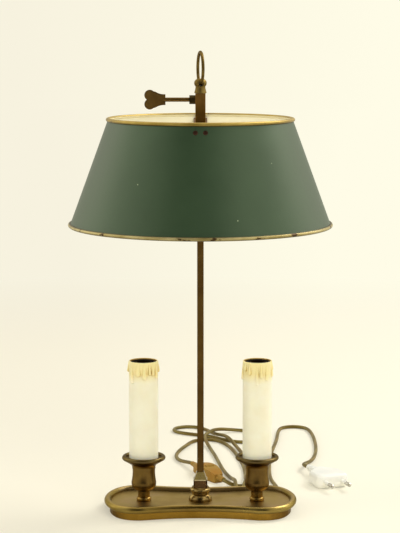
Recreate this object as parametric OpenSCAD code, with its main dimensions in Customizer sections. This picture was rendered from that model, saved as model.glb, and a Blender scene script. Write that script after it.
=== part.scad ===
// Bouillotte lamp: two candle lights on a waisted brass tray, under a painted
// metal shade that slides on a square rod and is held by a heart-shaped key.
// Millimetres. The origin lies on the table under the rod, +Z is up and the front faces -Y.

/* [Tray] */
// Length of the tray over its rolled edge
tray_len = 185.4; // [176:0.2:215]
// Depth of the tray across its lobes
tray_depth = 88.8; // [84:0.2:104]
// How far each long side draws in at the waist
waist_draw = 8.4; // [5:0.2:11]
// Radius of the four corners
corner_r = 30; // [25:0.5:33]
// How far each end bows out past its two corners
end_bow = 3.7; // [2.4:0.1:6]
// Radius of the rolled edge
edge_r = 3.3; // [2.8:0.1:3.6]
// Height of the rolled edge's top above the table
tray_h = 13.7; // [13:0.1:16]
// Depth of the tray inside its rolled edge
tray_recess = 4; // [3.4:0.1:4.6]
// Thickness of the tray floor
floor_t = 2; // [1.6:0.1:2.4]
// Setback of the plinth from the rolled edge's outside
plinth_inset = 5.2; // [4.6:0.1:6]
// Thickness of the plinth wall
plinth_wall = 2.5; // [2:0.1:3.5]
// Thickness of the felt pad
felt_t = 0.8; // [0.5:0.1:1.0]
// Thickness of the bottom plate
plate_t = 0.8; // [0.6:0.1:1.0]
// Radius of the screws that hold the bottom plate
plate_screw_r = 1.5; // [1.2:0.1:1.8]

/* [Rod and hub] */
// Width of the square rod
rod_w = 6.2; // [5.6:0.1:6.8]
// Length of the square rod above the hub
rod_len = 377.9; // [340:0.1:440]
// Radius of the rod's round shank in the hub
shank_r = 3; // [2.4:0.1:3.2]
// Radius of the hub's foot
hub_r = 11.35; // [10.5:0.05:14]
// Radius of the groove between the hub's bell and its bead
hub_waist_r = 8.2; // [7.6:0.1:8.8]
// Height of the hub above the tray floor
hub_h = 13.3; // [12.8:0.1:15]
// Width of the square block on the hub
block_w = 13.3; // [11.5:0.1:15]
// Height of that block
block_h = 7.9; // [6:0.1:12]
// Height of the pyramid on top of the block
pyramid_h = 7; // [4:0.1:9]

/* [Candles] */
// Distance of each candle from its end of the tray
candle_inset = 38.2; // [34:0.1:42]
// Outer radius of the threaded stem tubes
stem_r = 5; // [4.5:0.1:5.4]
// Wall of the stem tubes
stem_wall = 1.1; // [0.8:0.1:1.4]
// Radius of a cup's foot
cup_foot_r = 7.1; // [6.6:0.1:9]
// Widest radius of a cup's bulb
bulb_out_r = 11.9; // [11.3:0.1:12.6]
// Narrowest radius of a cup's barrel
barrel_r = 10.8; // [9.8:0.1:11.2]
// Widest radius of a cup's lip
lip_out_r = 20.9; // [19.6:0.1:24]
// Radius of the lip's round edge
lip_r = 2.1; // [1.8:0.1:2.5]
// Height of the cup's dish floor above the tray floor
dish_h = 42.1; // [39:0.1:50]
// Outer radius of a candle sleeve
candle_r = 14; // [13.4:0.1:15]
// Wall of a candle sleeve
candle_wall = 1; // [0.8:0.1:1.4]
// Length of a candle sleeve
candle_len = 94.6; // [84:0.2:112]
// How far the wax drips stand proud of the sleeve
wax_t = 1.7; // [1:0.1:2]

/* [Lampholders] */
// Inner radius of the screw shell, for a small Edison screw cap
shell_r = 7; // [6.6:0.1:7.4]
// Thickness of the screw shell
shell_t = 0.7; // [0.5:0.1:0.9]
// Length of the screw shell
shell_len = 18; // [14:0.2:20]
// Length of a lampholder
holder_len = 47.6; // [44:0.2:56]
// How far the lampholder lies below the candle's top
holder_drop = 0.8; // [0.4:0.1:4]

/* [Shade] */
// Radius of the shade at its top edge
shade_top_r = 86.4; // [80:0.2:100]
// Radius of the shade at its bottom edge
shade_bottom_r = 122.6; // [112:0.2:140]
// Height of the shade between its edges
shade_h = 98.7; // [85:0.1:120]
// Thickness of the shade's sheet
sheet_t = 0.7; // [0.5:0.05:1]
// Radius of the wired edges
wire_edge_r = 1.8; // [1.3:0.1:2.2]
// How far the shade's top edge lies below its sleeve's top
shade_drop = 24.4; // [18:0.1:40]
// Width of the strap that carries the shade
strap_w = 13; // [12:0.1:18]
// Thickness of that strap
strap_t = 1.2; // [1:0.1:2]
// Width of the square sleeve on the rod
sleeve_w = 9.6; // [9:0.1:10.4]
// Length of that sleeve
sleeve_len = 72; // [50:0.5:90]

/* [Clamp key] */
// Radius of the key's shank
key_r = 2; // [1.6:0.1:2.4]
// Distance of the key below the sleeve's top
key_drop = 5.9; // [5.6:0.1:12]
// Reach of the key's neck from the rod's centre
key_neck_x = 32.8; // [28:0.1:36]
// Thickness of the heart-shaped plate
heart_t = 4; // [3:0.1:5]
// Radius of the heart's lobes
lobe_r = 5; // [4.6:0.1:5.6]
// Width of the hexagonal boss across its flats
boss_w = 7.2; // [6.6:0.1:8.4]
// Length of that boss
boss_len = 5.6; // [4:0.1:9]

/* [Finial and ring] */
// Outer radius of the finial's bead
bead_out_r = 5.9; // [5.6:0.1:7]
// Radius of the bead's round edge
bead_r = 4.2; // [4:0.1:4.4]
// Outer radius of the ring, to the middle of its wire
ring_r = 15.05; // [13.5:0.05:18]
// Radius of the ring's wire
ring_wire_r = 1.45; // [1.2:0.05:1.55]
// Turn of the ring about the rod, in degrees
ring_turn = 9.4; // [-20:0.2:20]

/* [Cord, switch and plug] */
// Radius of the round cord
cord_r = 2; // [1.8:0.1:2]
// Place of the cord along the tray's back
cord_x = 36; // [30:0.5:40]
// Height of the cord where it leaves the tray
cord_z = 3.8; // [3.7:0.1:4]
// Length of the strain relief outside the plinth
relief_len = 21; // [20:0.5:24]
// Width of the switch
switch_w = 16; // [15.6:0.2:20]
// Length of the switch's body, without its noses
switch_len = 52; // [46:0.5:56]
// Height of the switch's body
switch_h = 13; // [12.6:0.1:15]
// Width of the plug at its pins
plug_w = 35; // [33:0.2:38]
// Thickness of the plug
plug_t = 14.6; // [13.6:0.1:16]
// Length of the plug's body
plug_len = 40; // [36:0.5:46]
// Distance between the plug's pins
pin_pitch = 18.6; // [17:0.1:19]
// Radius of the plug's pins
pin_r = 2; // [1.9:0.05:2.4]

/* [Hidden] */
$fn = 24;
// Sides of small screws, pins and holes
small_fn = 14;

// Play of a screw or pin in its plain hole
play = 0.1;
// Overlap that lets a cut run clean through a face
eps = 0.5;

// Tray heights
edge_z = tray_h - edge_r;
floor_z = tray_h - tray_recess;
under_z = floor_z - floor_t;
plate_z = felt_t + plate_t;

// The outline is four corner arcs, two end arcs and two waist arcs, all tangent
corner_x = tray_len / 2 - corner_r - end_bow;
corner_y = tray_depth / 2 - corner_r;
end_r = ((corner_r + end_bow) ^ 2 + corner_y ^ 2 - corner_r ^ 2) / (2 * end_bow);
end_x = tray_len / 2 - end_r;
end_half = atan2(corner_y, corner_x - end_x);
waist_half_w = tray_depth / 2 - waist_draw;
waist_cy = (corner_x ^ 2 + corner_y ^ 2 - (corner_r - waist_half_w) ^ 2) / (2 * waist_draw);
waist_r = waist_cy - waist_half_w;
waist_half = atan2(corner_x, waist_cy - corner_y);
// Steps along each kind of arc
end_steps = 8;
corner_steps = 10;
waist_steps = 10;
// Extra radius of the edge round the corners, and 57 times the lap of its lengths
edge_step = 0.03;
edge_lap = 26;

// Play of the bottom plate in the plinth
plate_play = 0.3;
// Bosses for the plate's screws
boss_r = plate_screw_r + 2;
boss_x = corner_x + 0.5 * corner_r;
boss_y = corner_y + 0.25 * corner_r;
screw_head_r = plate_screw_r + 1.1;

// Rod, hub and the parts under the floor
hub_top = floor_z + hub_h;
rod_top = hub_top + rod_len;
rod_fit = 0.05;
rod_chamfer = 0.5;
washer_r = 7;
washer_t = 0.8;
rod_nut_w = 10;
rod_nut_h = 4;
rod_nut_z = under_z - washer_t - rod_nut_h;
shank_end = rod_nut_z - 0.3;
stub_r = 2;
stub_len = 5.6;
foot_h = 1.2;
bell_r = 5.8;
high_bead_r = 2;
high_bead_out = 1.5;
pyramid_low_w = 12;
pyramid_top_w = rod_w + 1;

// Candle places and heights
candle_x = tray_len / 2 - candle_inset;
dish_z = floor_z + dish_h;
candle_top = dish_z + candle_len;
stem_nut_w = 14;
stem_nut_h = 2.7;
stem_end = under_z - stem_nut_h;
holder_top = candle_top - holder_drop;
holder_z = holder_top - holder_len;
thread_depth = 5;
stem_top = holder_z + thread_depth;
holder_r = candle_r - candle_wall - 0.3;
holder_neck_r = stem_r + 4;
holder_neck_h = 20;
shell_well = 3;
shell_z = holder_top - shell_len - 0.4;
carrier_z = shell_z - shell_well;
carrier_t = 4;
wire_top = carrier_z - carrier_t;

// Cup profile, in heights above the tray floor
foot_bead_r = 2;
foot_bead_h = 1.6;
cup_neck_r = stem_r + 0.7;
bulb_r = 7.4;
bulb_h = 16.8;
barrel_curve_r = 45;
barrel_mid_h = 28.3;
cove_r = 4.4;
cove_slope = 24;
lip_h = dish_h - 0.1;

// Wax that has run down each sleeve: angle from the front, length, radius
drips_left = [[-86, 11, 1.9], [-48, 21, 1.7], [-20, 14, 2.9], [6, 17, 2.7], [26, 12, 1.4],
    [41, 13, 2.0], [60, 16, 2.1], [88, 11, 1.6], [128, 13, 1.8], [168, 18, 2.2], [218, 14, 1.7]];
drips_right = [[-80, 18, 1.8], [-55, 9, 1.9], [-33, 12, 1.5], [-3, 22, 1.6], [13, 15, 1.5],
    [38, 18, 2.1], [72, 15, 1.7], [102, 10, 1.6], [150, 19, 2.1], [205, 13, 1.8]];
// At its top each drip stands proud by this much, keeps this share of its radius,
// and stops this far below the sleeve's edge
drip_top_t = 0.1;
drip_taper = 0.5;
drip_top_drop = 0.3;

// Shade heights and slope
sleeve_gap = 0.2;
sleeve_top = rod_top - sleeve_gap;
sleeve_play = 0.15;
sleeve_chamfer = 0.4;
shade_top_z = sleeve_top - shade_drop;
shade_bottom_z = shade_top_z - shade_h;
slope = atan2(shade_bottom_r - shade_top_r, shade_h);
sheet_half = sheet_t / 2 / cos(slope);
edge_play = 0.05;
wire_out = 0.5;
strap_drop = 3.1;
strap_z = shade_top_z - strap_drop;
foot_drop = 10;
rivet_pitch = 9;
rivet_drop = 7.3;
rivet_r = 1;
rivet_head_r = 2.2;
shade_fn = 40;

// Clamp key
key_z = sleeve_top - key_drop;
key_fit = 0.05;
tip_gap = 0.08;
lobe_x = key_neck_x + 14.7;
lobe_y = 0.84 * lobe_r;
neck_half = 5;
waist_curve_r = 15;
heart_bevel = 0.8;

// Finial
collar_rise = 4.6;
collar_low_r = 5.7;
collar_high_r = 4.7;
neck_r = 4.65;
bead_z = rod_top + 9.3;
hole_r = ring_wire_r + 0.8;
hole_z = bead_z - 0.65;
ring_z = hole_z - 0.6 + ring_r;

// Terminal block and wires under the floor
block_size = [16, 10, 5];
block_at = [cord_x, 14];
wire_r = 1;
wire_y = block_at.y - 2;
wire_bend_r = 3;

// Strain relief at the plinth's back wall
bush_r = 2.5;
relief_r = 2.8;
relief_tip_r = 2.4;
bush_in_y = waist_edge_y(cord_x, plinth_inset + plinth_wall);
bush_out_y = waist_edge_y(cord_x + bush_r, plinth_inset) + 0.1;
relief_tip_y = bush_out_y + relief_len;

// Switch, with its length along the cord
switch_at = [7.7, 124.4];
switch_heading = -65;
switch_half = switch_len / 2;
nose_len = 12;
nose_r = 3.1;
nose_tip_r = 2.5;
seam_z = 6;
switch_wall = 1.6;
lens_r = 100;
crown_r = 90;
switch_screw_x = 0.75 * switch_half;
switch_screw_r = 1.2;
post_r = switch_screw_r + 1.2;
post_cover = 0.4;
screw_grip = 3;
post_top = switch_h - crown_r + sqrt(crown_r ^ 2 - (switch_screw_x + post_r) ^ 2) - post_cover;
axle_z = 9.6;
axle_r = 1.1;
axle_fit = 0.05;
rocker_r = 6.9;
rocker_w = 8.4;
rocker_gap = 0.3;
rocker_tilt = 8;
cheek_t = 1.5;

// Plug, with its length along the cord
plug_tip = [112.6, 138.4];
plug_heading = -70;
plug_relief_len = 24;
plug_z = plug_t / 2;
plug_tail_w = 14;
plug_corner_r = 6;
plug_edge = 4.5;
plug_relief_r = 5;
relief_seat = 6;
pin_len = 19;
pin_metal_len = 9;
pin_core_r = 1.6;
pin_seat = 8;
pin_fit = 0.05;
plug_end = plug_relief_len + plug_len;

// Places along each cord, from the base to the switch and from the switch to the plug
cord_base_path = concat([[cord_x, relief_tip_y, cord_z]], [
    [35.6, 68, 5.9], [35.1, 81, 7.4], [34, 94, 5.6], [31.8, 108, 3], [27, 130, 2],
    [16.5, 205, 2], [7, 264, 4], [5, 285, 6.4], [9.5, 302, 6.6], [18, 317, 6.4], [30, 328, 4],
    [44, 331, 2.2], [60, 325, 2], [72, 310, 2], [74, 291, 2], [63, 276, 2], [45, 273, 2],
    [27, 284, 2], [9, 302, 2], [-8, 311, 2], [-20, 317.5, 2], [-28, 323.7, 2], [-31, 333.5, 2],
    [-28, 343.3, 2], [-20, 349.5, 2], [-9.6, 350, 2], [0, 344, 2], [8, 332, 2], [15.3, 316, 2],
    [22, 300, 4.2], [29, 283, 6.4], [37, 259, 4], [43, 235, 2], [49, 190, 2], [53, 140, 2],
    [56.9, 98, 2], [54.5, 88.6, 2], [48.2, 82, 2], [39.4, 79.5, 2.1], [30.6, 81.9, 3.9]],
    [switch_end(1)]);
cord_plug_path = concat([switch_end(-1)], [
    [-12, 167, 5.2], [-17.5, 178, 3.4], [-23, 190, 2.2], [-26, 205, 2], [-25, 222, 2],
    [-21, 240, 2], [-14, 262, 2], [-9.3, 274.5, 2], [-3, 283, 2], [7, 286, 2], [17, 283, 2],
    [23.3, 274.5, 2], [30, 258, 2], [38, 222, 2], [44, 180, 2], [46.5, 140, 2], [46.5, 118, 2.6],
    [46.2, 100, 4.8], [45.6, 83, 6.5], [43.2, 68, 4.2], [46.3, 58, 2.6], [54.7, 51.8, 2],
    [65.3, 51.8, 2], [73.7, 58, 2], [77, 68, 2], [74, 95, 2], [72, 140, 2], [77, 220, 2],
    [86, 290, 2], [90.5, 334, 2], [93.7, 344, 2], [102.2, 350.2, 2], [112.8, 350.2, 2],
    [121.3, 344, 2], [124.5, 334, 2], [128, 285, 2], [125, 220, 2], [114, 173, 3.5],
    [108.5, 150.5, 6.6]], [[plug_tip.x, plug_tip.y, plug_z]]);
cord_sides = 8;
wire_sides = 8;

// Y of the tray's back waist arc at a given X, for an outline set in by inset
function waist_edge_y(x, inset) = waist_cy - sqrt((waist_r + inset) ^ 2 - x ^ 2);

function unit(v) = v / norm(v);

// Level direction at a given heading
function heading_dir(a) = [cos(a), sin(a), 0];

// Tip of the switch's nose, on the near side (1) or the far side (-1)
function switch_end(side) =
    [switch_at.x, switch_at.y, seam_z]
    + side * (switch_half + nose_len) * heading_dir(switch_heading);

// Points along an arc about c, without its first
function arc_points(c, r, from, to, steps) = [
    for (i = [1 : steps])
        let (a = from + (to - from) * i / steps)
        c + r * [cos(a), sin(a)]
];

// Direction of travel at each point of a path, with both ends given
function headings(p, first, last) = [
    for (i = [0 : len(p) - 1])
        i == 0 ? first
        : i == len(p) - 1 ? last
        : unit(unit(p[i + 1] - p[i]) + unit(p[i] - p[i - 1]))
];

// A normal at each point that turns as little as it can along the path
function normals(t, start) = [
    for (i = 0, n = unit(start - (start * t[0]) * t[0]);
        i < len(t);
        i = i + 1, n = i < len(t) ? unit(n - (n * t[i]) * t[i]) : n)
        n
];

// Points of an arc of radius r that rounds the corner b between a and c
function rounded(a, b, c, r, steps) =
    let (u = unit(a - b), v = unit(c - b), half = acos(u * v) / 2)
    let (mid = b + unit(u + v) * r / sin(half))
    let (from = unit(b + u * r / tan(half) - mid), to = unit(b + v * r / tan(half) - mid))
    let (sweep = 180 - 2 * half)
    [for (i = [0 : steps])
        mid + r * (sin(sweep * (1 - i / steps)) * from + sin(sweep * i / steps) * to) / sin(sweep)];

// Solid tube of radius r swept along a path
module swept_tube(p, r, sides, first, last, start) {
    t = headings(p, first, last);
    n = normals(t, start);
    points = [
        for (i = [0 : len(p) - 1], k = [0 : sides - 1])
            let (a = 360 * (k + 0.5) / sides)
            p[i] + r * (cos(a) * n[i] + sin(a) * cross(t[i], n[i]))
    ];
    last_ring = (len(p) - 1) * sides;
    faces = concat(
        [[for (k = [0 : sides - 1]) k]],
        [for (i = [0 : len(p) - 2], k = [0 : sides - 1])
            [i * sides + k, (i + 1) * sides + k, (i + 1) * sides + (k + 1) % sides]],
        [for (i = [0 : len(p) - 2], k = [0 : sides - 1])
            [i * sides + k, (i + 1) * sides + (k + 1) % sides, i * sides + (k + 1) % sides]],
        [[for (k = [sides - 1 : -1 : 0]) last_ring + k]]
    );
    polyhedron(points, faces, convexity = 10);
}

// Solid bar with a hexagonal section, w across its flats
module hex_bar(w, h) {
    cylinder(h = h, r = w / sqrt(3), $fn = 6);
}

// Square with chamfered corners, about the origin
module chamfered_square(w, c) {
    h = w / 2;
    polygon([[h, c - h], [h, h - c], [h - c, h], [c - h, h], [-h, h - c], [-h, c - h],
        [c - h, -h], [h - c, -h]]);
}

// One copy in each quarter of the plan
module quarters() {
    for (mx = [0, 1], my = [0, 1]) {
        mirror([mx, 0, 0]) mirror([0, my, 0]) children();
    }
}

// Plan outline of the tray, set in from its rolled edge by inset
module tray_outline(inset) {
    half = concat(
        arc_points([end_x, 0], end_r - inset, -end_half, end_half, end_steps),
        arc_points([corner_x, corner_y], corner_r - inset, end_half, 90 + waist_half,
            corner_steps),
        arc_points([0, waist_cy], waist_r + inset, waist_half - 90, -waist_half - 90,
            waist_steps),
        arc_points([-corner_x, corner_y], corner_r - inset, 90 - waist_half, 180 - end_half,
            corner_steps));
    polygon(concat(half, -half));
}

// Length of rolled edge about the point c, centred on the direction mid
module edge_arc(c, r, mid, half, bead, fn) {
    translate([c.x, c.y, edge_z])
        rotate([0, 0, mid - half])
            rotate_extrude(angle = 2 * half, $fn = fn)
                translate([r, 0]) circle(r = bead, $fn = small_fn);
}

// The corner lengths are a hair fatter and the others run a little way into them
module rolled_edge() {
    corner_half = (90 + waist_half - end_half) / 2;
    end_path_r = end_r - edge_r;
    waist_path_r = waist_r + edge_r;
    quarters() {
        edge_arc([corner_x, corner_y], corner_r - edge_r, end_half + corner_half, corner_half,
            edge_r + edge_step, 40);
    }
    for (s = [0, 1]) {
        mirror([s, 0, 0]) edge_arc([end_x, 0], end_path_r, 0,
            end_half + edge_lap / end_path_r, edge_r, 48);
        mirror([0, s, 0]) edge_arc([0, waist_cy], waist_path_r, -90,
            waist_half + edge_lap / waist_path_r, edge_r, 90);
    }
}

module base_tray() {
    $fn = small_fn;
    color("#9c8147")
    difference() {
        union() {
            rolled_edge();
            translate([0, 0, under_z]) linear_extrude(floor_t) tray_outline(edge_r);
            linear_extrude(under_z + floor_t / 2) difference() {
                tray_outline(plinth_inset);
                tray_outline(plinth_inset + plinth_wall);
            }
            quarters() {
                translate([boss_x, boss_y, plate_z])
                    cylinder(h = under_z - plate_z + floor_t / 2, r = boss_r);
            }
        }
        translate([0, 0, -eps]) cylinder(h = tray_h, r = shank_r + play);
        for (s = [-1, 1]) {
            translate([s * candle_x, 0, under_z - eps])
                cylinder(h = floor_t + 2 * eps, r = stem_r + play);
        }
        quarters() {
            translate([boss_x, boss_y, plate_z - eps])
                cylinder(h = under_z - plate_z + eps, r = plate_screw_r + play);
        }
        translate([cord_x, bush_in_y - 4, cord_z])
            rotate([-90, 0, 0]) cylinder(h = 8, r = bush_r + play);
    }
}

module bottom_plate() {
    $fn = small_fn;
    color("#6f6f6c")
    difference() {
        translate([0, 0, felt_t])
            linear_extrude(plate_t) tray_outline(plinth_inset + plinth_wall + plate_play);
        quarters() {
            translate([boss_x, boss_y, felt_t])
                cylinder(h = plate_t + 2 * eps, r = plate_screw_r + play);
            translate([boss_x, boss_y, felt_t - 0.01])
                cylinder(h = plate_t / 2 + 0.01, r = screw_head_r + play);
        }
    }
}

module felt_pad() {
    color("#2f4a33")
    linear_extrude(felt_t) tray_outline(plinth_inset + plinth_wall + plate_play);
}

module plate_screws() {
    $fn = small_fn;
    color("#8d8a80")
    quarters() {
        translate([boss_x, boss_y, felt_t]) {
            cylinder(h = plate_t / 2, r = screw_head_r);
            cylinder(h = under_z - felt_t - 0.5, r = plate_screw_r);
        }
    }
}

module cord_bush() {
    color("#3a3128")
    translate([cord_x, bush_in_y, cord_z]) rotate([-90, 0, 0]) {
        cylinder(h = bush_out_y - bush_in_y + eps, r = bush_r);
        translate([0, 0, bush_out_y - bush_in_y])
            cylinder(h = relief_len, r1 = relief_r, r2 = relief_tip_r);
    }
}

module terminal_block() {
    color("#e8e2d0")
    translate([block_at.x - block_size.x / 2, block_at.y - block_size.y / 2,
        under_z - block_size.z])
        difference() {
            cube(block_size);
            for (i = [0, 1]) {
                translate([block_size.x * (0.28 + 0.44 * i), block_size.y / 2, -eps])
                    cylinder(h = 2 + eps, r = 1.6);
            }
        }
}

module inner_lead() {
    color("#7a6a3e")
    translate([cord_x, block_at.y + block_size.y / 2, cord_z])
        rotate([-90, 0, 0])
            cylinder(h = bush_in_y - block_at.y - block_size.y / 2, r = cord_r);
}

// Wire from the terminal block's side face up through the stem tube at x
module holder_wire(x, from_x) {
    a = [from_x, wire_y, cord_z];
    b = [x, wire_y, cord_z];
    c = [x, 0, cord_z];
    d = [x, 0, wire_top];
    path = concat([a], rounded(a, b, c, wire_bend_r, 4), rounded(b, c, d, wire_bend_r, 4), [d]);
    swept_tube(path, wire_r, wire_sides, unit(b - a), [0, 0, 1], [0, 0, 1]);
}

module wire_left() {
    color("#c9b98a") holder_wire(-candle_x, block_at.x - block_size.x / 2);
}

module wire_right() {
    color("#c9b98a") holder_wire(candle_x, block_at.x + block_size.x / 2);
}

// Turned flange: a thin rim, a bell that rises from it, a groove and a bead
module hub_flange() {
    color("#8a6a30")
    translate([0, 0, floor_z])
        rotate_extrude() difference() {
            union() {
                square([hub_r, foot_h]);
                square([hub_waist_r, hub_h]);
                intersection() {
                    translate([hub_r - 0.5 - bell_r, foot_h]) circle(r = bell_r);
                    square([hub_r, hub_h]);
                }
                translate([hub_waist_r + high_bead_out - high_bead_r, hub_h - 1 - high_bead_r])
                    circle(r = high_bead_r);
            }
            translate([-hub_r, -eps]) square([hub_r + shank_r + rod_fit, hub_h + 2 * eps]);
        }
}

// Square pyramid with its top cut off: two prisms of one trapezoid, crossed
module cut_pyramid(low_w, top_w, h) {
    intersection_for(turn = [0, 90]) {
        rotate([90, 0, turn]) linear_extrude(low_w, center = true)
            polygon([[-low_w / 2, 0], [low_w / 2, 0], [top_w / 2, h], [-top_w / 2, h]]);
    }
}

module collar() {
    color("#8a6a30")
    translate([0, 0, hub_top]) difference() {
        union() {
            linear_extrude(block_h) chamfered_square(block_w, 1.2);
            translate([0, 0, block_h]) cut_pyramid(pyramid_low_w, pyramid_top_w, pyramid_h);
        }
        translate([0, 0, -eps])
            linear_extrude(block_h + pyramid_h + 2 * eps)
                square(rod_w + 2 * rod_fit, center = true);
    }
}

module rod() {
    color("#7a5a2a") {
        translate([0, 0, hub_top]) linear_extrude(rod_len) chamfered_square(rod_w, rod_chamfer);
        translate([0, 0, shank_end]) cylinder(h = hub_top - shank_end + eps, r = shank_r);
        translate([0, 0, rod_top - eps]) cylinder(h = stub_len + eps, r = stub_r);
    }
}

module rod_nut() {
    color("#a08a50")
    translate([0, 0, rod_nut_z]) difference() {
        hex_bar(rod_nut_w, rod_nut_h);
        translate([0, 0, -eps]) cylinder(h = rod_nut_h + 2 * eps, r = shank_r + rod_fit);
    }
}

module rod_washer() {
    color("#9a9a94")
    translate([0, 0, under_z - washer_t]) difference() {
        cylinder(h = washer_t, r = washer_r);
        translate([0, 0, -eps]) cylinder(h = washer_t + 2 * eps, r = shank_r + play);
    }
}

// Half section of a candle cup: foot, neck, bulb, waisted barrel, cove and dished lip
module cup_section() {
    barrel_x = barrel_r + 0.4;
    cove = [barrel_x + cove_r, dish_h - 9.6];
    cove_end = cove + cove_r * [-sin(cove_slope), cos(cove_slope)];
    lip = [lip_out_r - lip_r, lip_h];
    lip_low = lip + lip_r * [sin(cove_slope), -cos(cove_slope)];
    difference() {
        union() {
            intersection() {
                translate([cup_foot_r - foot_bead_r, foot_bead_h]) circle(r = foot_bead_r);
                square([cup_foot_r, bulb_h]);
            }
            square([cup_neck_r, bulb_h]);
            translate([bulb_out_r - bulb_r, bulb_h]) circle(r = bulb_r);
            difference() {
                translate([0, bulb_h]) square([bulb_out_r, cove.y - bulb_h]);
                translate([barrel_r + barrel_curve_r, barrel_mid_h])
                    circle(r = barrel_curve_r, $fn = 60);
            }
            difference() {
                polygon([[0, cove.y - 1], [barrel_x, cove.y - 1], [barrel_x, cove.y], cove_end,
                    lip_low, lip, [lip.x, dish_h], [0, dish_h]]);
                translate(cove) circle(r = cove_r);
            }
            translate(lip) circle(r = lip_r);
        }
        translate([-2 * bulb_r, -eps]) square([2 * bulb_r + stem_r + play, dish_h + 2 * eps]);
    }
}

module candle_cup(x) {
    color("#8a6a30")
    translate([x, 0, floor_z]) rotate_extrude() cup_section();
}

module candle_cup_left() {
    candle_cup(-candle_x);
}

module candle_cup_right() {
    candle_cup(candle_x);
}

module stem_tube(x) {
    color("#a08a50")
    translate([x, 0, stem_end]) difference() {
        cylinder(h = stem_top - stem_end, r = stem_r);
        translate([0, 0, -eps])
            cylinder(h = stem_top - stem_end + 2 * eps, r = stem_r - stem_wall);
    }
}

module stem_tube_left() {
    stem_tube(-candle_x);
}

module stem_tube_right() {
    stem_tube(candle_x);
}

module tube_nuts() {
    color("#a08a50")
    for (s = [-1, 1]) {
        translate([s * candle_x, 0, under_z - stem_nut_h]) difference() {
            hex_bar(stem_nut_w, stem_nut_h);
            translate([0, 0, -eps]) cylinder(h = stem_nut_h + 2 * eps, r = stem_r + rod_fit);
        }
    }
}

// Black lampholder: threaded neck on the stem tube, wider body with a well for the shell
module socket_body(x) {
    color("#1c1b1a")
    translate([x, 0, 0]) rotate_extrude() polygon([
        [stem_r + rod_fit, holder_z], [holder_neck_r, holder_z],
        [holder_neck_r, holder_z + holder_neck_h], [holder_r, holder_z + holder_neck_h + 2],
        [holder_r, holder_top - 0.8], [holder_r - 0.8, holder_top],
        [shell_r + shell_t + rod_fit, holder_top], [shell_r + shell_t + rod_fit, shell_z],
        [shell_r - 0.6, shell_z], [shell_r - 0.6, carrier_z], [0, carrier_z], [0, wire_top],
        [stem_r - stem_wall, wire_top], [stem_r - stem_wall, stem_top + 0.2],
        [stem_r + rod_fit, stem_top + 0.2]]);
}

module socket_body_left() {
    socket_body(-candle_x);
}

module socket_body_right() {
    socket_body(candle_x);
}

module socket_shell(x) {
    color("#b08d45")
    translate([x, 0, shell_z]) difference() {
        cylinder(h = shell_len, r = shell_r + shell_t);
        translate([0, 0, -eps]) cylinder(h = shell_len + 2 * eps, r = shell_r);
    }
}

module socket_shell_left() {
    socket_shell(-candle_x);
}

module socket_shell_right() {
    socket_shell(candle_x);
}

module socket_contacts() {
    color("#c9a65a")
    for (s = [-1, 1]) {
        translate([s * candle_x, 0, carrier_z]) {
            cylinder(h = 0.8, r = shell_r - 2.6);
            cylinder(h = shell_well, r1 = 2.4, r2 = 1.6);
        }
    }
}

// Wax drip on a sleeve: a round end, and a run that thins towards the sleeve's top edge
module wax_drip(len, r) {
    top_r = drip_taper * r;
    run = len - r;
    lean = atan2(drip_top_t - top_r - wax_t + r, run);
    translate([candle_r + wax_t - r, 0, candle_len - run])
        rotate([0, lean, 0]) rotate_extrude() difference() {
            union() {
                circle(r = r);
                polygon([[0, 0], [r, 0], [top_r, run - drip_top_drop], [0, run - drip_top_drop]]);
            }
            translate([-2 * r, -2 * r]) square([2 * r, len + 2 * r]);
        }
}

module candle_sleeve(x, drips) {
    color("#f2ecca")
    translate([x, 0, dish_z]) difference() {
        union() {
            cylinder(h = candle_len, r = candle_r);
            for (d = drips) {
                rotate([0, 0, d[0] - 90]) wax_drip(d[1], d[2], $fn = small_fn);
            }
        }
        translate([0, 0, -eps])
            cylinder(h = candle_len + 2 * eps, r = candle_r - candle_wall);
    }
}

module candle_sleeve_left() {
    candle_sleeve(-candle_x, drips_left);
}

module candle_sleeve_right() {
    candle_sleeve(candle_x, drips_right);
}

module finial() {
    color("#9a7c38")
    difference() {
        translate([0, 0, rod_top]) rotate_extrude() difference() {
            union() {
                polygon([[0, 0], [collar_low_r, 0], [collar_low_r, 0.5],
                    [collar_high_r, collar_rise], [neck_r, collar_rise],
                    [neck_r, bead_z - rod_top - 3], [0, bead_z - rod_top - 3]]);
                translate([0, bead_z - rod_top - bead_r])
                    square([bead_out_r - bead_r, 2 * bead_r]);
                translate([bead_out_r - bead_r, bead_z - rod_top]) circle(r = bead_r);
            }
            translate([-2 * bead_r, -eps]) square([2 * bead_r, 5 * bead_r]);
            translate([0, -eps]) square([stub_r + rod_fit, stub_len + 0.2 + eps]);
        }
        translate([0, 0, hole_z])
            rotate([90, 0, ring_turn]) cylinder(h = 4 * bead_r, r = hole_r, center = true);
    }
}

module finial_ring() {
    color("#a8883c")
    translate([0, 0, ring_z])
        rotate([0, 0, ring_turn])
            rotate([0, 90, 0])
                rotate_extrude($fn = 28)
                    translate([ring_r, 0]) circle(r = ring_wire_r, $fn = small_fn);
}

module shade_sleeve() {
    color("#6b4520")
    difference() {
        translate([0, 0, sleeve_top - sleeve_len])
            linear_extrude(sleeve_len) difference() {
                chamfered_square(sleeve_w, sleeve_chamfer);
                square(rod_w + 2 * sleeve_play, center = true);
            }
        translate([0, 0, key_z])
            rotate([0, -90, 0]) cylinder(h = sleeve_w, r = key_r + key_fit);
    }
}

module key_boss() {
    color("#6b4520")
    translate([-sleeve_w / 2, 0, key_z]) rotate([0, -90, 0]) difference() {
        hex_bar(boss_w, boss_len);
        translate([0, 0, -eps]) cylinder(h = boss_len + 2 * eps, r = key_r + key_fit);
    }
}

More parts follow.
